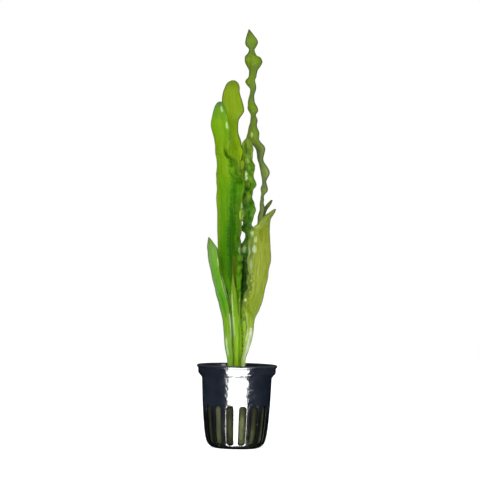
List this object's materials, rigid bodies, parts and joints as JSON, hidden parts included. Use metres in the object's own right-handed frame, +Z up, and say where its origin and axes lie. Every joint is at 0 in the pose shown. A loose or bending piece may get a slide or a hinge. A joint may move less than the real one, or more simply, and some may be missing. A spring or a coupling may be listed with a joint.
{
  "type": "potted aponogeton",
  "caption": "Small aquarium plant with upright strap, ruffled and twisted leaves, rooted in stone wool in a slotted black plastic pot.",
  "frame": {"origin": "centre of the pot's flat underside", "axes": "+Z up along the pot's axis, +X to the right and -Y towards the viewer in the pictured view"},
  "size_m": [0.05, 0.05, 0.2598],
  "materials": {
    "pot_plastic": "moulded black plastic, smooth and glossy",
    "stone_wool": "wet fibrous stone wool, green with algae",
    "leaf_bright": "thin wet leaf, bright green, satin",
    "leaf_olive": "thin leaf, olive green, satin",
    "leaf_dark": "thin ruffled leaf, dark green, satin",
    "leaf_yellow": "thin leaf, yellow green with fine lengthwise veins, satin"
  },
  "bodies": {
    "root": {"pot": "pot_plastic", "stone_wool": "stone_wool", "leaf_tall_ribbon": "leaf_olive", "leaf_round_tip": "leaf_olive", "leaf_strap": "leaf_bright", "leaf_ruffled": "leaf_dark", "leaf_broad_right": "leaf_yellow", "leaf_small_left": "leaf_bright", "leaf_young": "leaf_yellow", "leaf_narrow_right": "leaf_olive"}
  },
  "joints": []
}
